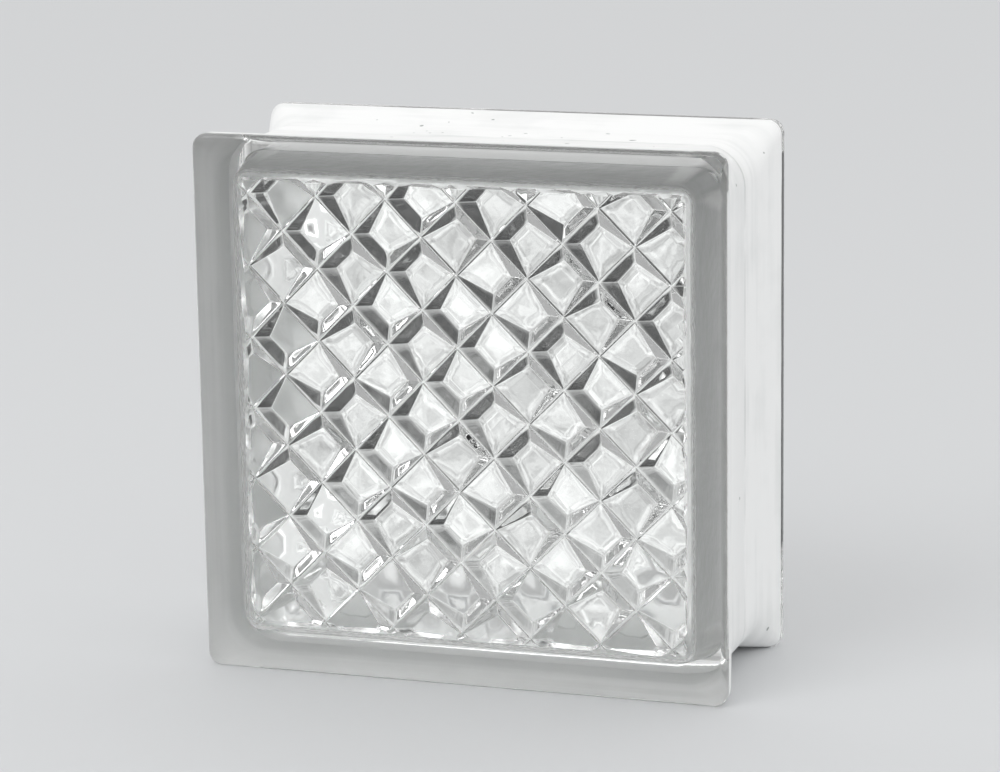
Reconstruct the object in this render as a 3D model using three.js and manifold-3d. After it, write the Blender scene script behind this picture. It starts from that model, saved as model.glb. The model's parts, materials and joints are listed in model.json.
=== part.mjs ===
// Hollow glass block, 190 x 190 x 80 mm, made of two pressed soda-lime glass halves
// fused rim to rim. Millimetres, +Z up, the front face looks along -Y.
//
// Each half is a shallow square dish with a flat polished face, a narrow rim flange and a
// mortar channel outside. The floor of the rear dish is plain. The floor of the front one
// carries a diamond lattice: V-grooves part raised diamonds, and the flat top of every
// diamond leans towards one of its four sides.

import * as THREE from "three";
import { ConvexGeometry } from "three/addons/geometries/ConvexGeometry.js";
import { mergeVertices } from "three/addons/utils/BufferGeometryUtils.js";
import Module from "manifold-3d";

// ---- Outside of the block ------------------------------------------------------------
const faceSize = 190; // width and height of the block
const blockDepth = 80; // front face to rear face
const faceCornerRadius = 5; // corners of the face, seen from the front
const faceEdgeRound = 2; // fire-polished round where the face turns into the rim
const rimWidth = 6; // straight rim flange behind the face
const slopeWidth = 16; // flange back that slopes down into the mortar channel
const channelDepth = 4; // mortar channel, below the rim flange
const channelCornerRadius = 14; // corners of the channel, softer than those of the face
const seamRound = 0.8; // melted edge of each half at the fused seam

// ---- Hollow --------------------------------------------------------------------------
const faceThickness = 8; // face plate, measured to the bottom of the grooves
const frontWall = 8.5; // side wall of the front half, next to its floor
const rearWall = 6.6; // side wall of the rear half, next to its floor
const seamWall = 5.5; // side wall of both halves at the seam
const floorCornerRadius = 6; // corners of the hollow, seen from the front, at the floor
const seamCornerRadius = 9; // the same corners at the seam
const floorFillet = 4; // round between the floor and the side walls

// ---- Diamond lattice on the floor of the front half ----------------------------------
const latticeSize = 157; // side of the square that the lattice fills
const latticeShiftX = -1; // middle of the pattern, off the middle of the face
const latticeShiftZ = -1.5;
const diamondSide = 17.8; // distance between neighbouring parallel grooves
const grooveCrease = 0.4; // flat strip at the bottom of a groove
const flankAngle = 40; // slope of the groove flanks, in degrees
const highFlank = 4.2; // width of the flank along the high side of a diamond
const lowFlank = 0.5; // width of the flank along its low side

// The side that each diamond leans up to, in rows from the top as seen from the front:
// A upper left, B lower left, C upper right, D lower right.
const leanRows = [
  "ACBADAC",
  "AAABADCC",
  "CBBCAAC",
  "CCAADCAB",
  "DDBBDCA",
  "BBCABADC",
  "ADDBCBC",
  "CBABADCA",
  "CCBCAAB",
  "BCBDDBCD",
  "BBABCDD",
  "ADDCADBA",
  "DADDBCD",
  "BCDACBDC",
  "DBCADBA",
];

// ---- How finely curves are cut into facets -------------------------------------------
const cornerSegments = 8; // for each quarter round seen from the front
const edgeSegments = 3; // for each small quarter round of an edge or fillet

const wasm = await Module();
wasm.setup();

/** Closed solid for boolean work from a three.js geometry. */
function solidFrom(geometry) {
  const bare = geometry.clone();
  bare.deleteAttribute("normal");
  bare.deleteAttribute("uv");
  const welded = mergeVertices(bare, 1e-5);
  return new wasm.Manifold(
    new wasm.Mesh({
      numProp: 3,
      vertProperties: new Float32Array(welded.attributes.position.array),
      triVerts: new Uint32Array(welded.index.array),
    }),
  );
}

/** three.js geometry from a boolean solid. */
function geometryFrom(solid) {
  const mesh = solid.getMesh();
  const geometry = new THREE.BufferGeometry();
  geometry.setAttribute("position", new THREE.BufferAttribute(mesh.vertProperties, 3));
  geometry.setIndex(new THREE.BufferAttribute(mesh.triVerts, 1));
  geometry.computeVertexNormals();
  return geometry;
}

/** Outline of a square with round corners, in the plane of the face. */
function roundedSquare(halfSide, radius) {
  const reach = halfSide - radius;
  const outline = new THREE.Shape();
  outline.absarc(reach, reach, radius, 0, Math.PI / 2);
  outline.absarc(-reach, reach, radius, Math.PI / 2, Math.PI);
  outline.absarc(-reach, -reach, radius, Math.PI, 1.5 * Math.PI);
  outline.absarc(reach, -reach, radius, 1.5 * Math.PI, 2 * Math.PI);
  return outline.getPoints(cornerSegments);
}

/**
 * Convex solid through a stack of rounded squares. Each level gives its depth behind the
 * front face, half of its side and its corner radius.
 */
function stack(levels) {
  const points = [];
  for (const { depth, half, radius } of levels) {
    for (const corner of roundedSquare(half, radius)) {
      points.push(new THREE.Vector3(corner.x, depth - blockDepth / 2, corner.y));
    }
  }
  return solidFrom(new ConvexGeometry(points));
}

/** Levels of a quarter round that grows from `depth` by `round` while it widens by `round`. */
function quarterRound(depth, half, radius, round) {
  const levels = [];
  for (let step = 0; step <= edgeSegments; step += 1) {
    const angle = (step / edgeSegments) * (Math.PI / 2);
    const inset = round * (1 - Math.sin(angle));
    const rise = round * (1 - Math.cos(angle));
    levels.push({ depth: depth + rise, half: half - inset, radius: radius - inset });
  }
  return levels;
}

const faceHalf = faceSize / 2;
const seamDepth = blockDepth / 2;
const channelStart = rimWidth + slopeWidth;
const channelHalf = faceHalf - channelDepth;
const floorDepth = faceThickness;
const mouthHalf = channelHalf - seamWall;

/** Outside of one half: rim flange, sloping flange back and channel wall up to the seam. */
function outerBody() {
  const rimEnd = { depth: rimWidth, half: faceHalf, radius: faceCornerRadius };
  const channel = { depth: channelStart, half: channelHalf, radius: channelCornerRadius };
  const flange = stack([
    ...quarterRound(0, faceHalf, faceCornerRadius, faceEdgeRound),
    rimEnd,
  ]);
  const slope = stack([rimEnd, channel]);
  const wall = stack([
    channel,
    { ...channel, depth: seamDepth - seamRound },
    {
      depth: seamDepth,
      half: channelHalf - seamRound / 2,
      radius: channelCornerRadius - seamRound / 2,
    },
  ]);
  return flange.add(slope).add(wall);
}

/** The hollow of one half, a little longer than the half so that it opens at the seam. */
function cavity(floorWall) {
  const past = 1;
  const mouth = { half: mouthHalf, radius: seamCornerRadius };
  return stack([
    ...quarterRound(floorDepth, channelHalf - floorWall, floorCornerRadius, floorFillet),
    { ...mouth, depth: seamDepth },
    { ...mouth, depth: seamDepth + past },
  ]);
}

/** Remainder that is never negative, to repeat the rows past the pattern's edge. */
function wrap(place, count) {
  return ((place % count) + count) % count;
}

/** Direction, along the two families of grooves, that one diamond leans up to. */
function leanOf(across, up) {
  const middle = (leanRows.length - 1) / 2;
  const row = leanRows[wrap(middle - up, leanRows.length)];
  const letter = row[wrap(Math.floor((across + row.length - 1) / 2), row.length)];
  const sides = { A: [0, 1], B: [-1, 0], C: [1, 0], D: [0, -1] };
  return new THREE.Vector2(...sides[letter]);
}

/** One raised diamond with its sides along X and Z and its height along Y. */
function diamond(lean) {
  const sunk = 1;
  const slope = Math.tan(THREE.MathUtils.degToRad(flankAngle));
  const half = (diamondSide - grooveCrease) / 2;
  const points = [];
  for (const sideX of [-1, 1]) {
    for (const sideZ of [-1, 1]) {
      const isHigh = sideX * lean.x + sideZ * lean.y > 0;
      const flank = isHigh ? highFlank : lowFlank;
      const top = half - flank;
      points.push(new THREE.Vector3(sideX * half, -sunk, sideZ * half));
      points.push(new THREE.Vector3(sideX * half, 0, sideZ * half));
      points.push(new THREE.Vector3(sideX * top, slope * flank, sideZ * top));
    }
  }
  return new ConvexGeometry(points);
}

/** All diamonds on the floor, trimmed to the square that the lattice fills. */
function diamondLattice() {
  const pitch = diamondSide / Math.SQRT2;
  const reach = Math.ceil(latticeSize / 2 / pitch);
  const diamonds = [];
  for (let up = -reach; up <= reach; up += 1) {
    for (let across = -reach; across <= reach; across += 1) {
      if ((up + across) % 2 !== 0) {
        const raised = diamond(leanOf(across, up));
        raised.rotateY(-Math.PI / 4);
        raised.translate(across * pitch + latticeShiftX, 0, up * pitch + latticeShiftZ);
        diamonds.push(solidFrom(raised));
      }
    }
  }
  const field = solidFrom(new THREE.BoxGeometry(latticeSize, blockDepth, latticeSize));
  return wasm.Manifold.union(diamonds).intersect(field);
}

/** Plain pressed half, its face towards -Y and its seam in the plane y = 0. */
function plainHalf(floorWall) {
  return outerBody().subtract(cavity(floorWall));
}

/** Pressed half with the lattice on its floor. */
function latticeHalf() {
  const lattice = diamondLattice().translate([0, floorDepth - blockDepth / 2, 0]);
  return plainHalf(frontWall).add(lattice);
}

/** Clear glass; each mesh has a material of its own. */
function clearGlass() {
  return new THREE.MeshStandardMaterial({ color: 0xe9efec, roughness: 0.05, metalness: 0 });
}

const frontHalf = new THREE.Mesh(geometryFrom(latticeHalf()), clearGlass());
frontHalf.name = "front_half";
frontHalf.position.z = faceHalf;

const rearHalf = new THREE.Mesh(geometryFrom(plainHalf(rearWall)), clearGlass());
rearHalf.name = "rear_half";
rearHalf.rotation.z = Math.PI;
rearHalf.position.z = faceHalf;

const glassBlock = new THREE.Group();
glassBlock.add(frontHalf);
glassBlock.add(rearHalf);

export default glassBlock;
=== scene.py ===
"""Looks for a hollow pressed-glass block: diamond-lattice glass with a white edge coating."""

import json
import logging
import math
from dataclasses import dataclass, field
from enum import Enum
from typing import Any

import bmesh
import bpy
from mathutils import Matrix, Vector, noise

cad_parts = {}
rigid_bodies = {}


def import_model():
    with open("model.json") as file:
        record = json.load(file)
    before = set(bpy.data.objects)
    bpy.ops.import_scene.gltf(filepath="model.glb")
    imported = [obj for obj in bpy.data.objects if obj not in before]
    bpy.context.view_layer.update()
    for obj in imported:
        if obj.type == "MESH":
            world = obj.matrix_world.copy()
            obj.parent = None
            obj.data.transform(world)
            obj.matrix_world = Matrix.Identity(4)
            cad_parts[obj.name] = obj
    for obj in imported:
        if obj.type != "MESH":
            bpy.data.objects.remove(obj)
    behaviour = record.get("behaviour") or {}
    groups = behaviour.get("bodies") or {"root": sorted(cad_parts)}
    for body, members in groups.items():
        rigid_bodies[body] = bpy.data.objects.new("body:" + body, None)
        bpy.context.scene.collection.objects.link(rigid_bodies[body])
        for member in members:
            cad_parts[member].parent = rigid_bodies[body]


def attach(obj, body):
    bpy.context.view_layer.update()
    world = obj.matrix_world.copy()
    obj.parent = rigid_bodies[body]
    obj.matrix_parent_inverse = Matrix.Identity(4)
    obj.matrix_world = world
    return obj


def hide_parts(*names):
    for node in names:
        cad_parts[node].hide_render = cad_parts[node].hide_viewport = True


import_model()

LOG = logging.getLogger("glass_block")
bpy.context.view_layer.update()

# The block's sizes are in millimetres until the finished mesh is scaled to metres.
MM = 0.001
HALF_SIDE = 95.0
HALF_DEPTH = 40.0
TOUCH = 1e-5

Colour = tuple[float, float, float, float]
Pair = tuple[float, float]
Place = tuple[float, float, float]
Loop = list[bmesh.types.BMEdge]


class Region(Enum):
    """Parts of the glass surface that take different finishes."""

    FACE = 0
    RELIEF = 1
    COATED = 2
    WALL = 3


# --------------------------------------------------------------------------- shader helpers


class Signal:
    """A shader socket that can be used in Python arithmetic."""

    def __init__(self, tree: bpy.types.NodeTree, socket: bpy.types.NodeSocket) -> None:
        """Wrap a socket of a node tree.

        Args:
            tree: the node tree that the socket belongs to.
            socket: the output socket that carries the value.
        """
        self.tree = tree
        self.socket = socket

    def _math(self, operation: str, *operands: Any) -> "Signal":
        """Add a Math node and return its result.

        Args:
            operation: the Math node's operation.
            operands: values or signals, in the order of the node's sockets.

        Returns:
            The node's output as a signal.
        """
        node = self.tree.nodes.new("ShaderNodeMath")
        node.operation = operation
        for place, operand in enumerate(operands):
            plug(self.tree, node.inputs[place], operand)
        return Signal(self.tree, node.outputs[0])

    def __add__(self, other: Any) -> "Signal":
        """Sum of two signals."""
        return self._math("ADD", self, other)

    __radd__ = __add__

    def __sub__(self, other: Any) -> "Signal":
        """Difference of two signals."""
        return self._math("SUBTRACT", self, other)

    def __rsub__(self, other: Any) -> "Signal":
        """Difference with the plain value first."""
        return self._math("SUBTRACT", other, self)

    def __mul__(self, other: Any) -> "Signal":
        """Product of two signals."""
        return self._math("MULTIPLY", self, other)

    __rmul__ = __mul__

    def __truediv__(self, other: Any) -> "Signal":
        """Quotient of two signals."""
        return self._math("DIVIDE", self, other)

    def __rtruediv__(self, other: Any) -> "Signal":
        """Quotient with the plain value first."""
        return self._math("DIVIDE", other, self)

    def clipped(self) -> "Signal":
        """The value held between 0 and 1."""
        return self._math("MAXIMUM", self._math("MINIMUM", self, 1.0), 0.0)

    def largest(self, other: Any) -> "Signal":
        """The larger of two values."""
        return self._math("MAXIMUM", self, other)

    def magnitude(self) -> "Signal":
        """The value without its sign."""
        return self._math("ABSOLUTE", self)

    def ramp(self, low: float, high: float) -> "Signal":
        """The value rescaled so that low gives 0 and high gives 1, held between 0 and 1."""
        return ((self - low) / (high - low)).clipped()


def plug(tree: bpy.types.NodeTree, socket: bpy.types.NodeSocket, value: Any) -> None:
    """Link a signal to a socket, or set the socket's own value.

    Args:
        tree: the node tree.
        socket: the input socket.
        value: a signal, a number or a tuple of numbers.
    """
    if isinstance(value, Signal):
        tree.links.new(value.socket, socket)
    else:
        socket.default_value = value


def mix(parts: tuple[Signal, Signal], shares: Pair) -> Signal:
    """Weigh two signals and add them.

    Args:
        parts: the two signals.
        shares: the share of each.

    Returns:
        Their weighted sum.
    """
    return parts[0] * shares[0] + parts[1] * shares[1]


class Shader:
    """Builds the node tree of one material or of the world."""

    def __init__(self, owner: Any) -> None:
        """Empty the owner's node tree and add its output.

        Args:
            owner: a material or a world.
        """
        owner.use_nodes = True
        self.tree = owner.node_tree
        self.tree.nodes.clear()
        kind = "World" if isinstance(owner, bpy.types.World) else "Material"
        self.output = self.tree.nodes.new(f"ShaderNodeOutput{kind}")

    def node(
        self, kind: str, out: str | int = 0, settings: dict[str, Any] | None = None, **inputs: Any
    ) -> Signal:
        """Add a node.

        Args:
            kind: the node's type without its "ShaderNode" prefix.
            out: the output to return, by name or number.
            settings: the node's properties, which are set first.
            inputs: values or signals by socket name, with _ for a space, or as in3 by number.

        Returns:
            The chosen output as a signal.
        """
        made = self.tree.nodes.new(f"ShaderNode{kind}")
        for name, value in (settings or {}).items():
            setattr(made, name, value)
        for name, value in inputs.items():
            numbered = name.startswith("in") and name[2:].isdigit()
            key = int(name[2:]) if numbered else name.replace("_", " ")
            plug(self.tree, made.inputs[key], value)
        return Signal(self.tree, made.outputs[out])

    def place(self) -> Signal:
        """Object coordinates."""
        return self.node("TexCoord", "Object")

    def split(self, vector: Signal) -> tuple[Signal, Signal, Signal]:
        """X, Y and Z of a vector.

        Args:
            vector: the vector to take apart.

        Returns:
            Its three parts as signals.
        """
        made = self.tree.nodes.new("ShaderNodeSeparateXYZ")
        plug(self.tree, made.inputs[0], vector)
        return tuple(Signal(self.tree, made.outputs[k]) for k in range(3))

    def grain(self, scale: float, detail: float = 2.0, where: Signal | None = None) -> Signal:
        """Noise between 0 and 1, on the object unless other coordinates are given.

        Args:
            scale: lumps for each unit of the coordinates, which is a metre on an object.
            detail: octaves of finer noise.
            where: other coordinates to read.

        Returns:
            The noise as a signal.
        """
        spot = where or self.place()
        return self.node("TexNoise", "Fac", Vector=spot, Scale=scale, Detail=detail)

    def blend(self, share: Any, first: Any, second: Any) -> Signal:
        """Mix two colours.

        Args:
            share: 0 for the first colour, 1 for the second.
            first: a colour or signal.
            second: a colour or signal.

        Returns:
            The mixed colour.
        """
        colours = {"data_type": "RGBA"}
        return self.node("Mix", 2, colours, in0=share, in6=first, in7=second)

    def finish(self, surface: Signal) -> None:
        """Link the finished surface to the output."""
        plug(self.tree, self.output.inputs["Surface"], surface)


# ------------------------------------------------------------------------------- finishes


@dataclass(frozen=True)
class ClearGlass:
    """Clear soda-lime glass with the faint ripple of a pressed surface."""

    name: str = "clear_glass"
    tint: Colour = (0.985, 0.995, 0.99, 1.0)
    ior: float = 1.52
    roughness: float = 0.0
    ripple_scale: float = 90.0
    ripple_detail: float = 3.0
    ripple_height: float = 0.00004

    def material(self) -> bpy.types.Material:
        """Build the material.

        Returns:
            A Principled glass with a fine ripple on its normal.
        """
        made = bpy.data.materials.new(self.name)
        shader = Shader(made)
        ripple = shader.grain(self.ripple_scale, self.ripple_detail)
        normal = shader.node(
            "Bump", "Normal", Strength=1.0, Distance=self.ripple_height, Height=ripple
        )
        surface = shader.node(
            "BsdfPrincipled",
            "BSDF",
            Base_Color=self.tint,
            Roughness=self.roughness,
            IOR=self.ior,
            Transmission_Weight=1.0,
            Normal=normal,
        )
        shader.finish(surface)
        return made


FROSTED = ClearGlass("wall_glass", roughness=0.3, ripple_scale=150.0, ripple_height=0.0003)


@dataclass(frozen=True)
class EdgeCoating:
    """White paint on the mortar channel, brushed on along the edges in one thin coat.

    A span says where something starts and where it is full: a level of the noise, or a
    distance from the seam in metres. A mix gives the share of the brush streaks, and then
    that of the clouds or of the bristle marks.
    """

    name: str = "white_edge_coating"
    full: Colour = (0.93, 0.935, 0.93, 1.0)
    thin: Colour = (0.84, 0.85, 0.845, 1.0)
    bare: Colour = (0.38, 0.40, 0.39, 1.0)
    # Underside colours, seen only through the glass: lighter than the outside, and darker in the
    # channel near the seam than on the rim and slope. This is painted light and painted shade,
    # mixed with the uneven tone of the brush streaks.
    under_full_and_lit: Colour = (0.99, 0.99, 0.99, 1.0)
    under_thin_and_shaded: Colour = (0.87, 0.875, 0.87, 1.0)
    along: float = 9.0
    across: float = 190.0
    streak_detail: float = 3.0
    cloud_scale: float = 45.0
    cloud_detail: float = 4.0
    cover_mix: Pair = (0.5, 0.5)
    cover_span: Pair = (0.36, 0.52)
    seam_span: Pair = (0.0011, 0.0004)
    seam_scale: float = 30.0
    seam_cover: Pair = (0.4, 0.6)
    seam_share: float = 0.45
    speck_scale: float = 330.0
    speck_span: Pair = (0.84, 0.86)
    under_mix: Pair = (0.6, 0.4)
    under_span: Pair = (0.32, 0.58)
    under_shade_depth: Pair = (0.012, 0.022)
    bristle_scale: float = 700.0
    bristle_detail: float = 3.0
    relief_mix: Pair = (0.7, 0.3)
    relief_strength: float = 0.5
    relief_height: float = 0.0002
    rough: float = 0.55
    polish: float = -0.12

    def _outside(self, shader: Shader, cover: Signal, depth: Signal) -> Signal:
        """Colour of the paint seen from outside, with bare specks and a thin place at the seam.

        Args:
            shader: the paint's shader.
            cover: how well the film covers.
            depth: distance from the seam.

        Returns:
            The colour.
        """
        patchy = shader.grain(self.seam_scale).ramp(*self.seam_cover)
        seam = depth.ramp(*self.seam_span) * patchy
        film = shader.blend(cover, self.thin, self.full)
        specks = shader.grain(self.speck_scale, 0.0).ramp(*self.speck_span)
        return shader.blend((specks + seam * self.seam_share).clipped(), film, self.bare)

    def material(self) -> bpy.types.Material:
        """Build the material.

        Returns:
            A white paint with brush streaks that follow the edges.
        """
        made = bpy.data.materials.new(self.name)
        shader = Shader(made)
        spot = shader.place()
        scale = (self.along, self.across, self.along)
        stretch = shader.node("Mapping", "Vector", Vector=spot, Scale=scale)
        streak = shader.grain(1.0, self.streak_detail, stretch)
        cloud = shader.grain(self.cloud_scale, self.cloud_detail)
        bristle = shader.grain(self.bristle_scale, self.bristle_detail)
        depth = shader.split(spot)[1].magnitude()
        cover = mix((streak, cloud), self.cover_mix).ramp(*self.cover_span)
        streaked = mix((streak, cloud), self.under_mix).ramp(*self.under_span)
        # Painted shade in the channel near the seam and painted light on the rim and slope, on the
        # paint's underside.
        under_cover_and_light = streaked * depth.ramp(*self.under_shade_depth)
        under = shader.blend(under_cover_and_light, self.under_thin_and_shaded, self.under_full_and_lit)
        outside = self._outside(shader, cover, depth)
        normal = shader.node(
            "Bump",
            "Normal",
            Strength=self.relief_strength,
            Distance=self.relief_height,
            Height=mix((streak, bristle), self.relief_mix),
        )
        surface = shader.node(
            "BsdfPrincipled",
            "BSDF",
            Base_Color=shader.blend(shader.node("NewGeometry", "Backfacing"), outside, under),
            Roughness=cover * self.polish + self.rough,
            Normal=normal,
        )
        shader.finish(surface)
        return made


# --------------------------------------------------------------------------- glass body


@dataclass(frozen=True)
class Ring:
    """One rounded-square level of a skin, in millimetres."""

    depth: float
    half: float
    radius: float


@dataclass
class Outside:
    """Outer skin of the fused block: faces, rim flanges, slopes and mortar channel."""

    half: float = HALF_SIDE
    seam: float = HALF_DEPTH
    face_radius: float = 5.0
    edge_round: float = 2.0
    rim: float = 6.0
    slope: float = 16.0
    slope_shares: tuple[float, ...] = (0.04, 0.25, 0.5, 0.75, 0.96)
    slope_end: float = 0.8
    channel: float = 4.0
    channel_radius: float = 14.0
    seam_round: float = 0.8
    front_paint: float = 3.4
    rear_paint: float = 5.5
    corner_steps: int = 10
    edge_steps: int = 5

    def rings(self, paint_edge: float) -> list[tuple[Ring, Region]]:
        """Levels from one face to the seam, each with the finish of the strip after it.

        Args:
            paint_edge: where the coating starts on the rim, behind the face.

        Returns:
            The rings with their regions.
        """
        clear = []
        for step in range(self.edge_steps + 1):
            turn = step / self.edge_steps * math.pi / 2
            inset = self.edge_round * (1 - math.sin(turn))
            rise = self.edge_round * (1 - math.cos(turn))
            clear.append(Ring(rise, self.half - inset, self.face_radius - inset))
        painted = [Ring(paint_edge, self.half, self.face_radius)]
        for share in self.slope_shares:
            depth = self.rim + self.slope * share
            radius = self.face_radius + (self.channel_radius - self.face_radius) * share
            painted.append(Ring(depth, self.half - self.channel * share, radius))
        low = self.half - self.channel
        end = self.rim + self.slope + self.slope_end
        painted.append(Ring(end, low, self.channel_radius))
        painted.append(Ring(self.seam - self.seam_round, low, self.channel_radius))
        painted.append(Ring(self.seam, low - self.seam_round / 2, self.channel_radius))
        levels = [(ring, Region.FACE) for ring in clear]
        return levels + [(ring, Region.COATED) for ring in painted]


class Lean(Enum):
    """The side of a diamond that stands highest, in the grid before it is turned."""

    UP_LEFT = "A"
    DOWN_LEFT = "B"
    UP_RIGHT = "C"
    DOWN_RIGHT = "D"

    @property
    def way(self) -> Vector:
        """Direction from the diamond's middle to its highest side.

        Returns:
            A unit vector along one of the grid's axes.
        """
        return {
            Lean.UP_LEFT: Vector((0.0, 1.0)),
            Lean.DOWN_LEFT: Vector((-1.0, 0.0)),
            Lean.UP_RIGHT: Vector((1.0, 0.0)),
            Lean.DOWN_RIGHT: Vector((0.0, -1.0)),
        }[self]


# The side that each diamond leans up to, in rows from the top as seen from the front.
LEAN_ROWS = (
    "ACBADAC",
    "AAABADCC",
    "CBBCAAC",
    "CCAADCAB",
    "DDBBDCA",
    "BBCABADC",
    "ADDBCBC",
    "CBABADCA",
    "CCBCAAB",
    "BCBDDBCD",
    "BBABCDD",
    "ADDCADBA",
    "DADDBCD",
    "BCDACBDC",
    "DBCADBA",
)


@dataclass
class PlainFloor:
    """The bare inside of one face plate, with the faint waves of pressed glass.

    Each wave is given by its length and its height.
    """

    extent: float = 78.5
    spare: float = 2.0
    corner_cut: float = 0.8
    cells: int = 40
    waves: tuple[Pair, ...] = ((7.0, 0.14), (23.0, 0.28))
    seed: float = 0.0

    def patch(self) -> bmesh.types.BMesh:
        """Model the floor as an open patch, height along +Z.

        Returns:
            The patch, in millimetres.
        """
        patch = bmesh.new()
        size = self.extent + self.spare
        bmesh.ops.create_grid(patch, x_segments=self.cells, y_segments=self.cells, size=size)
        self._wave(patch)
        self._trim(patch)
        return patch

    def _wave(self, patch: bmesh.types.BMesh) -> None:
        """Give the patch the slight unevenness of pressed glass.

        Args:
            patch: the patch to change.
        """
        for vert in patch.verts:
            spot = Vector((vert.co.x, vert.co.y, self.seed))
            for length, height in self.waves:
                vert.co.z += height * noise.noise(spot / length)

    def _trim(self, patch: bmesh.types.BMesh) -> None:
        """Cut the patch to the square floor with blunted corners.

        Args:
            patch: the patch to cut.
        """
        blunt = self.extent * math.sqrt(2) - self.corner_cut
        cuts = 8
        for turn in range(cuts):
            way = Matrix.Rotation(turn * math.tau / cuts, 3, "Z") @ Vector((1.0, 0.0, 0.0))
            reach = self.extent if turn % 2 == 0 else blunt
            bmesh.ops.bisect_plane(
                patch,
                geom=patch.verts[:] + patch.edges[:] + patch.faces[:],
                dist=TOUCH,
                plane_co=way * reach,
                plane_no=way,
                clear_outer=True,
            )


@dataclass
class Lattice(PlainFloor):
    """A floor of raised diamonds parted by V-grooves, each with a leaning flat top.

    The flank on a diamond's highest side is as wide as high says, and the one across from
    it as low says. Both rise at the same angle, in degrees.
    """

    side: float = 17.8
    shift: Pair = (-1.0, -1.5)
    high: float = 4.4
    low: float = 0.65
    angle: float = 40.0
    uneven: float = 0.25
    uneven_spread: float = 0.3
    margin: float = 10.0
    window_cuts: int = 3
    crease_angle: float = 0.1
    rounding: float = 0.2
    steps: int = 2

    @staticmethod
    def lean(column: int, row: int) -> Lean:
        """Look up the lean of one diamond.

        Args:
            column: the diamond's place along the grid's first axis.
            row: its place along the second axis.

        Returns:
            Its lean; the rows repeat past the pattern's edge.
        """
        across, up = column - row, column + row + 1
        line = LEAN_ROWS[(len(LEAN_ROWS) // 2 - up) % len(LEAN_ROWS)]
        return Lean(line[(across + len(line) - 1) // 2 % len(line)])

    def patch(self) -> bmesh.types.BMesh:
        """Model the relief as an open patch, height along +Z.

        Returns:
            The patch, in millimetres.
        """
        patch = bmesh.new()
        cells = 2 * math.ceil((self.extent + self.margin) * math.sqrt(2) / self.side)
        half = cells * self.side / 2
        slope = math.tan(math.radians(self.angle))
        bmesh.ops.create_grid(patch, x_segments=cells, y_segments=cells, size=half)
        windows = patch.faces[:]
        bmesh.ops.inset_individual(
            patch, faces=windows, thickness=self.low, depth=slope * self.low, use_even_offset=True
        )
        for window in windows:
            self._tilt(window, slope)
        bmesh.ops.subdivide_edges(
            patch, edges=patch.edges[:], cuts=self.window_cuts, use_grid_fill=True
        )
        creases = [
            edge
            for edge in patch.edges
            if edge.is_manifold and edge.calc_face_angle() > self.crease_angle
        ]
        bmesh.ops.bevel(
            patch,
            geom=creases,
            offset=self.rounding,
            offset_type="OFFSET",
            segments=self.steps,
            profile=0.5,
            affect="EDGES",
            material=-1,
        )
        bmesh.ops.rotate(patch, verts=patch.verts, matrix=Matrix.Rotation(math.pi / 4, 3, "Z"))
        bmesh.ops.translate(patch, verts=patch.verts, vec=(*self.shift, 0.0))
        self._wave(patch)
        self._trim(patch)
        return patch

    def _tilt(self, window: bmesh.types.BMFace, slope: float) -> None:
        """Lean one window by widening the bevels along its high side.

        Args:
            window: the window's face.
            slope: rise of the bevels for each millimetre of their width.
        """
        middle = window.calc_center_median()
        column, row = math.floor(middle.x / self.side), math.floor(middle.y / self.side)
        way = self.lean(column, row).way
        spot = Vector((column + 0.5, row + 0.5, self.seed))
        for vert in window.verts:
            off = vert.co - middle
            widen = self.high - self.low if off.xy.dot(way) > 0.0 else 0.0
            near = spot + off.normalized() * self.uneven_spread
            widen *= 1.0 + self.uneven * noise.noise(near)
            inward = (-math.copysign(widen, off.x), -math.copysign(widen, off.y), slope * widen)
            vert.co += Vector(inward)


@dataclass
class Hollow:
    """One half of the hollow: its floor, the fillet round it and the drafted side wall.

    Its way is 1 in the front half, and -1 in the rear half, which is turned round.
    """

    floor: PlainFloor
    half: float
    draft: float
    way: float
    plate: float = 8.0
    seam: float = HALF_DEPTH
    bead: float = 0.6
    bead_inset: float = 0.4
    radius: float = 6.0
    fillet: float = 4.0
    fillet_steps: int = 5
    corner_steps: int = 8

    def rings(self) -> list[Ring]:
        """Levels of the fillet and the wall, from the floor to the bead at the seam.

        Returns:
            The rings, in the depth of the whole block.
        """
        levels = []
        flat = self.half - self.fillet
        for step in range(1, self.fillet_steps + 1):
            turn = step / self.fillet_steps * math.pi / 2
            rise = self.fillet * (1 - math.cos(turn))
            inset = self.fillet * (1 - math.sin(turn))
            levels.append(Ring(self.plate + rise, flat + self.fillet - inset, self.radius - inset))
        wide = self.half + self.draft
        levels.append(Ring(self.seam - self.bead, wide, self.radius + self.draft))
        return [
            Ring(self.seam - self.way * (self.seam - ring.depth), ring.half, ring.radius)
            for ring in levels
        ]

    def mouth(self) -> Ring:
        """The bead of glass where the two halves meet."""
        return Ring(self.seam, self.half + self.draft - self.bead_inset, self.radius)


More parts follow.
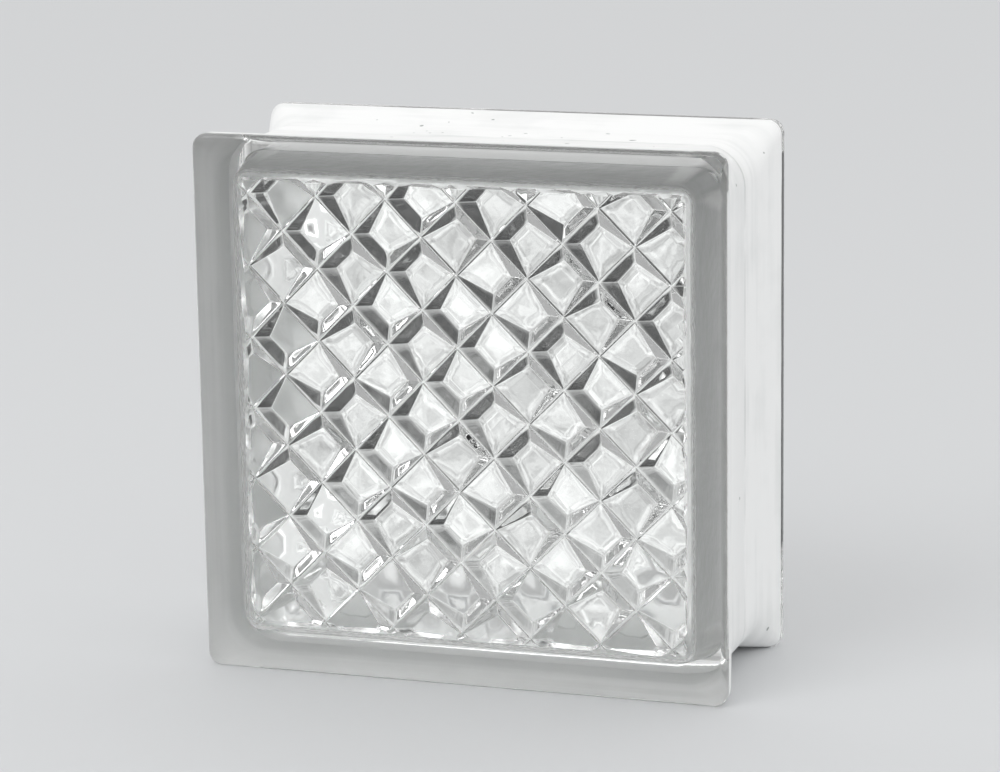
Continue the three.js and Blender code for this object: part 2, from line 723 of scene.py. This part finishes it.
@dataclass
class GlassBody:
    """The two fused pressings as one body of glass.

    The coating starts at a ragged edge, whose waves are given by their length and height.
    """

    outside: Outside = field(default_factory=Outside)
    front: Hollow = field(default_factory=lambda: Hollow(Lattice(), half=82.5, draft=3.0, way=1.0))
    rear: Hollow = field(
        default_factory=lambda: Hollow(
            PlainFloor(extent=80.4, seed=31.0), half=84.4, draft=1.1, way=-1.0
        )
    )
    side_cuts: int = 24
    ragged: tuple[Pair, ...] = ((9.0, 0.35), (4.0, 0.2))
    sharp_angle: float = 35.0

    def _ring(self, body: bmesh.types.BMesh, ring: Ring, steps: int) -> Loop:
        """Add one rounded-square ring of edges in the plane of the face.

        Args:
            body: the mesh to add to.
            ring: the level to draw.
            steps: facets of each corner.

        Returns:
            The ring's edges.
        """
        loop = bmesh.new()
        bmesh.ops.create_grid(loop, x_segments=1, y_segments=1, size=ring.half)
        bmesh.ops.bevel(
            loop,
            geom=loop.verts[:],
            offset=ring.radius,
            segments=steps,
            profile=0.5,
            affect="VERTICES",
            material=-1,
        )
        four_sides = sorted(loop.edges, key=lambda edge: -edge.calc_length())[:4]
        bmesh.ops.delete(loop, geom=loop.faces[:], context="FACES_ONLY")
        bmesh.ops.subdivide_edges(loop, edges=four_sides, cuts=self.side_cuts)
        made = {}
        for vert in loop.verts:
            made[vert] = body.verts.new((vert.co.x, ring.depth - HALF_DEPTH, vert.co.y))
        edges = [body.edges.new((made[e.verts[0]], made[e.verts[1]])) for e in loop.edges]
        loop.free()
        return edges

    def _wander(self, loop: Loop) -> None:
        """Let the edge of the coating wander a little along the flat of the rim.

        Args:
            loop: the edges of the ring where the coating starts.
        """
        for vert in {vert for edge in loop for vert in edge.verts}:
            vert.co.y += sum(
                height * noise.noise(vert.co / length) for length, height in self.ragged
            )

    def _outer(self) -> bmesh.types.BMesh:
        """Model the outer skin.

        Returns:
            A closed mesh in millimetres with a region index on each face.
        """
        body = bmesh.new()
        front = self.outside.rings(self.outside.front_paint)
        rear = self.outside.rings(self.outside.rear_paint)[:-1]
        regions = [region for _, region in front[:-1]]
        regions += [region for _, region in reversed(rear)]
        rings = [ring for ring, _ in front]
        rings += [
            Ring(2 * HALF_DEPTH - ring.depth, ring.half, ring.radius) for ring, _ in reversed(rear)
        ]
        loops = [self._ring(body, ring, self.outside.corner_steps) for ring in rings]
        edge = self.outside.edge_steps + 1
        for loop in (loops[edge], loops[-1 - edge]):
            self._wander(loop)
        for place, region in enumerate(regions):
            made = bmesh.ops.bridge_loops(body, edges=loops[place] + loops[place + 1])
            for face in made["faces"]:
                face.material_index = region.value
        for loop in (loops[0], loops[-1]):
            made = bmesh.ops.edgeloop_fill(body, edges=loop)
            for face in made["faces"]:
                face.material_index = Region.FACE.value
        bmesh.ops.recalc_face_normals(body, faces=body.faces[:])
        return body

    def _floor(self, body: bmesh.types.BMesh, hollow: Hollow) -> Loop:
        """Set the floor of one half in its place.

        Args:
            body: the mesh to add to.
            hollow: the half of the hollow that the floor closes.

        Returns:
            The floor's boundary edges.
        """
        patch = hollow.floor.patch()
        made = {}
        for vert in patch.verts:
            depth = hollow.way * (hollow.plate + vert.co.z - hollow.seam)
            made[vert] = body.verts.new((vert.co.x * hollow.way, depth, vert.co.y))
        for face in patch.faces:
            laid = body.faces.new([made[vert] for vert in face.verts])
            laid.material_index = Region.RELIEF.value
        rim = [edge for edge in patch.edges if edge.is_boundary]
        edges = [body.edges.get((made[edge.verts[0]], made[edge.verts[1]])) for edge in rim]
        patch.free()
        return edges

    def _inner(self) -> bmesh.types.BMesh:
        """Model the inner skin.

        Returns:
            A closed mesh in millimetres whose faces look into the hollow.
        """
        body = bmesh.new()
        rings = [*self.front.rings(), self.front.mouth(), *reversed(self.rear.rings())]
        loops = [self._ring(body, ring, self.front.corner_steps) for ring in rings]
        loops = [self._floor(body, self.front), *loops, self._floor(body, self.rear)]
        for place in range(len(loops) - 1):
            made = bmesh.ops.bridge_loops(body, edges=loops[place] + loops[place + 1])
            for face in made["faces"]:
                face.material_index = Region.WALL.value
        bmesh.ops.recalc_face_normals(body, faces=body.faces[:])
        bmesh.ops.reverse_faces(body, faces=body.faces[:])
        return body

    def build(self) -> bpy.types.Object:
        """Join both skins into one object.

        Returns:
            The finished glass body.
        """
        mesh = bpy.data.meshes.new("glass_body")
        whole = bmesh.new()
        for skin in (self._outer(), self._inner()):
            part = bpy.data.meshes.new("skin")
            skin.to_mesh(part)
            open_edges = sum(not edge.is_manifold for edge in skin.edges)
            LOG.info("skin: %d faces, %d open edges", len(skin.faces), open_edges)
            skin.free()
            whole.from_mesh(part)
            bpy.data.meshes.remove(part)
        bmesh.ops.translate(whole, verts=whole.verts, vec=(0.0, 0.0, HALF_SIDE))
        bmesh.ops.scale(whole, verts=whole.verts, vec=(MM, MM, MM))
        for face in whole.faces:
            face.smooth = True
        whole.to_mesh(mesh)
        whole.free()
        obj = bpy.data.objects.new("glass_body", mesh)
        bpy.context.scene.collection.objects.link(obj)
        self._dress(mesh)
        LOG.info("glass body: %d triangles", sum(len(p.vertices) - 2 for p in mesh.polygons))
        return obj

    def _dress(self, mesh: bpy.types.Mesh) -> None:
        """Give each region its finish, and the sharp edges their crease.

        Args:
            mesh: the finished mesh, whose material numbers are those of the regions.
        """
        glass = ClearGlass().material()
        finishes = {
            Region.FACE: glass,
            Region.RELIEF: glass,
            Region.COATED: EdgeCoating().material(),
            Region.WALL: FROSTED.material(),
        }
        for region in Region:
            mesh.materials.append(finishes[region])
        mesh.set_sharp_from_angle(angle=math.radians(self.sharp_angle))


# -------------------------------------------------------------------------------- studio


@dataclass(frozen=True)
class Zone:
    """A lighter or darker zone of the surround, with soft edges.

    Lift and swing give, in degrees, where the zone starts and where it is full.
    """

    gain: float
    lift: Pair | None = None
    swing: Pair | None = None

    def add_to(self, light: Any, swing: Signal, lift: Signal) -> Signal:
        """Add the zone to the light.

        Args:
            light: the brightness so far.
            swing: the direction's turn.
            lift: its height.

        Returns:
            The brightness with the zone in it.
        """
        share: Any = self.gain
        if self.lift:
            share = lift.ramp(*self.lift) * share
        if self.swing:
            share = swing.ramp(*self.swing) * share
        return share + light


@dataclass(frozen=True)
class Surround:
    """Soft pale room. Through the glass it shows light cards that are parted by dark gaps.

    Directions are in degrees: swing is the turn to the right of straight back, lift is the
    height over the horizon. A mottle is the scale of a noise and its weight. The card is
    dimmer in a small square. The rear of the room starts and is full where the rear edge
    says, in the Y of a direction one unit long.
    """

    room: float = 0.86
    room_above: float = 0.1
    room_right: float = 0.12
    card: float = 0.9
    card_mottles: tuple[Pair, ...] = ((13.0, 0.5), (50.0, 1.3))
    card_detail: float = 2.0
    card_zones: tuple[Zone, ...] = (
        Zone(-0.27, lift=(-12.0, -3.0)),
        Zone(3.0, lift=(24.0, 40.0)),
        Zone(1.6, lift=(-22.0, -40.0), swing=(20.0, 36.0)),
        Zone(1.6, lift=(5.0, 20.0), swing=(20.0, 36.0)),
        Zone(-0.45, lift=(-26.0, -36.0), swing=(-9.0, -15.0)),
        Zone(0.9, swing=(26.0, 40.0)),
        Zone(5.0, swing=(-62.0, -75.0)),
    )
    dim_spot: Pair = (-18.65, -12.67)
    dim_edge: Pair = (1.0, 4.5)
    dim_share: float = 0.4
    gap_every: float = 90.0
    gap_swing: float = 4.0
    gap_edge: Pair = (5.0, 11.0)
    gap_base: float = -0.84
    gap_mottle: Pair = (60.0, 1.5)
    gap_detail: float = 1.0
    gap_zones: tuple[Zone, ...] = (
        Zone(0.52, lift=(-24.0, -15.0)),
        Zone(0.8, lift=(-42.0, -54.0)),
    )
    front: float = 0.42
    front_above: Zone = Zone(1.2, lift=(5.0, 30.0))
    rear_edge: Pair = (-0.15, 0.1)

    def _cards(self, shader: Shader, look: Signal, swing: Signal, lift: Signal) -> Signal:
        """Brightness of the mottled cards behind the block.

        Args:
            shader: the world's shader.
            look: the direction as a vector.
            swing: the direction's turn.
            lift: its height.

        Returns:
            The brightness as a signal.
        """
        light: Any = self.card - sum(weight for _, weight in self.card_mottles) / 2
        for scale, weight in self.card_mottles:
            light = shader.grain(scale, self.card_detail, look) * weight + light
        for zone in self.card_zones:
            light = zone.add_to(light, swing, lift)
        dim_swing, dim_lift = self.dim_spot
        apart = (swing - dim_swing).magnitude().largest((lift - dim_lift).magnitude())
        aside = apart.ramp(*self.dim_edge)
        return light * (aside * (1.0 - self.dim_share) + self.dim_share)

    def _gaps(
        self, shader: Shader, look: Signal, swing: Signal, lift: Signal
    ) -> tuple[Signal, Signal]:
        """Dark upright gaps, one to each quarter of the room.

        Args:
            shader: the world's shader.
            look: the direction as a vector.
            swing: the direction's turn.
            lift: its height.

        Returns:
            The brightness in a gap, and the share of the card beside it.
        """
        half = self.gap_every / 2
        turned = swing + (half - self.gap_swing)
        folded = shader.node(
            "Math", 0, {"operation": "FLOORED_MODULO"}, in0=turned, in1=self.gap_every
        )
        beside = (folded - half).magnitude().ramp(*self.gap_edge)
        scale, weight = self.gap_mottle
        gap = shader.grain(scale, self.gap_detail, look) * weight + self.gap_base
        for zone in self.gap_zones:
            gap = zone.add_to(gap, swing, lift)
        return gap.largest(0.0), beside

    def build(self) -> None:
        """Light the scene with the room."""
        world = bpy.data.worlds.new("studio")
        bpy.context.scene.world = world
        shader = Shader(world)
        look = shader.node("TexCoord", "Generated")
        x, y, z = shader.split(look)
        turn = shader.node("Math", 0, {"operation": "ARCTAN2"}, in0=x, in1=y)
        rise = shader.node("Math", 0, {"operation": "ARCSINE"}, in0=z)
        swing, lift = turn * math.degrees(1.0), rise * math.degrees(1.0)
        gap, beside = self._gaps(shader, look, swing, lift)
        rear = self._cards(shader, look, swing, lift) * beside + gap * (1.0 - beside)
        front = self.front_above.add_to(self.front, swing, lift)
        behind = y.ramp(*self.rear_edge)
        seen = rear * behind + front * (1.0 - behind)
        through = shader.node("LightPath", "Is Transmission Ray")
        room = z * self.room_above + x * self.room_right + self.room
        strength = through * seen + (1.0 - through) * room
        shader.finish(shader.node("Background", Color=(1.0, 1.0, 1.0, 1.0), Strength=strength))


def stand(name: str, made: bmesh.types.BMesh, paint: bpy.types.Material) -> bpy.types.Object:
    """Turn a mesh into a painted piece of the stage.

    Args:
        name: the piece's name.
        made: its mesh, which is freed.
        paint: its material.

    Returns:
        The piece.
    """
    mesh = bpy.data.meshes.new(name)
    made.to_mesh(mesh)
    made.free()
    mesh.materials.append(paint)
    obj = bpy.data.objects.new(name, mesh)
    bpy.context.scene.collection.objects.link(obj)
    return obj


@dataclass(frozen=True)
class StudioFloor:
    """Pale floor under the block. It doesn't show through the glass."""

    reach: float = 6.0
    colour: Colour = (0.66, 0.67, 0.68, 1.0)
    roughness: float = 0.8

    def build(self) -> None:
        """Lay the floor."""
        paint = bpy.data.materials.new("pale_floor")
        shader = Shader(paint)
        surface = shader.node(
            "BsdfPrincipled", "BSDF", Base_Color=self.colour, Roughness=self.roughness
        )
        shader.finish(surface)
        made = bmesh.new()
        bmesh.ops.create_grid(made, x_segments=1, y_segments=1, size=self.reach)
        stand("floor", made, paint).visible_transmission = False


@dataclass(frozen=True)
class ShadeCard:
    """Dark card well behind the block, which shows only through the glass.

    It is lighter towards its foot, and mottled by a noise of a given scale and weight.
    """

    width: float = 0.24
    tall: float = 0.36
    middle: Place = (-0.04, 1.0, 0.24)
    pale: Colour = (0.6, 0.6, 0.6, 1.0)
    dark: Colour = (0.04, 0.04, 0.04, 1.0)
    dark_edge: Pair = (0.06, 0.17)
    dark_share: float = 0.9
    mottle: Pair = (60.0, 0.8)
    base: float = -0.3

    def _material(self) -> bpy.types.Material:
        """Build the card's own dim light.

        Returns:
            The material.
        """
        paint = bpy.data.materials.new("shade_card")
        shader = Shader(paint)
        scale, weight = self.mottle
        height = shader.split(shader.place())[2].ramp(*self.dark_edge)
        shade = height * self.dark_share + shader.grain(scale) * weight + self.base
        grey = shader.blend(shade.clipped(), self.pale, self.dark)
        shader.finish(shader.node("Emission", Color=grey, Strength=1.0))
        return paint

    def build(self) -> None:
        """Stand the card in its place."""
        made = bmesh.new()
        bmesh.ops.create_grid(made, x_segments=1, y_segments=1, size=1.0)
        bmesh.ops.scale(made, verts=made.verts, vec=(self.width / 2, self.tall / 2, 1.0))
        upright = Matrix.Rotation(math.pi / 2, 3, "X")
        bmesh.ops.rotate(made, verts=made.verts, matrix=upright)
        bmesh.ops.translate(made, verts=made.verts, vec=self.middle)
        obj = stand("shade_card", made, self._material())
        obj.visible_camera = False
        obj.visible_diffuse = False
        obj.visible_glossy = False
        obj.visible_shadow = False


@dataclass(frozen=True)
class SoftBox:
    """Square lamp that hangs in front of the block, at the upper left."""

    name: str = "key"
    spot: Place = (-0.6, -1.2, 1.6)
    aim: Place = (0.0, 0.0, 0.1)
    side: float = 1.0
    watts: float = 7.2

    def build(self) -> None:
        """Hang the lamp and aim it."""
        light = bpy.data.lights.new(self.name, "AREA")
        light.size = self.side
        light.energy = self.watts
        obj = bpy.data.objects.new(self.name, light)
        way = Vector(self.aim) - Vector(self.spot)
        turn = way.to_track_quat("-Z", "Y").to_matrix().to_4x4()
        obj.matrix_world = Matrix.Translation(self.spot) @ turn
        bpy.context.scene.collection.objects.link(obj)


@dataclass(frozen=True)
class Eye:
    """The camera. Its turns are in degrees, its lens in millimetres, its place in metres."""

    spot: Place = (0.40574, -1.19513, 0.38161)
    swing: float = 18.65
    lift: float = 12.67
    roll: float = -0.86
    sensor: float = 36.0
    lens: float = 132.8112
    sight: float = 100.0

    def build(self) -> None:
        """Set the camera at its viewing angle."""
        swing, lift, roll = (math.radians(turn) for turn in (self.swing, self.lift, self.roll))
        right = Vector((math.cos(swing), math.sin(swing), 0.0))
        back = Vector(
            (math.sin(swing) * math.cos(lift), -math.cos(swing) * math.cos(lift), math.sin(lift))
        )
        up = back.cross(right)
        level = right * math.cos(roll) + up * math.sin(roll)
        rise = -right * math.sin(roll) + up * math.cos(roll)
        camera = bpy.data.cameras.new("camera")
        camera.sensor_width = self.sensor
        camera.lens = self.lens
        camera.clip_end = self.sight
        obj = bpy.data.objects.new("camera", camera)
        turn = Matrix((level, rise, back)).transposed().to_4x4()
        obj.matrix_world = Matrix.Translation(self.spot) @ turn
        bpy.context.scene.collection.objects.link(obj)
        bpy.context.scene.camera = obj


@dataclass(frozen=True)
class Picture:
    """Plain view transform, and enough bounces for light to pass every layer of the glass."""

    all_bounces: int = 18
    diffuse: int = 6
    glossy: int = 8
    transmission: int = 16

    def build(self) -> None:
        """Set the scene."""
        scene = bpy.context.scene
        scene.view_settings.view_transform = "Standard"
        scene.cycles.max_bounces = self.all_bounces
        scene.cycles.diffuse_bounces = self.diffuse
        scene.cycles.glossy_bounces = self.glossy
        scene.cycles.transmission_bounces = self.transmission


def main() -> None:
    """Build the block and the studio, in order."""
    logging.basicConfig(level=logging.INFO, format="%(message)s")
    body = GlassBody().build()
    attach(body, "root")
    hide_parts("front_half", "rear_half")
    LOG.info("built %s", body.name)
    for item in (StudioFloor(), Surround(), ShadeCard(), SoftBox(), Eye(), Picture()):
        item.build()
        LOG.info("built %s", type(item).__name__)


if __name__ == "__main__":
    main()
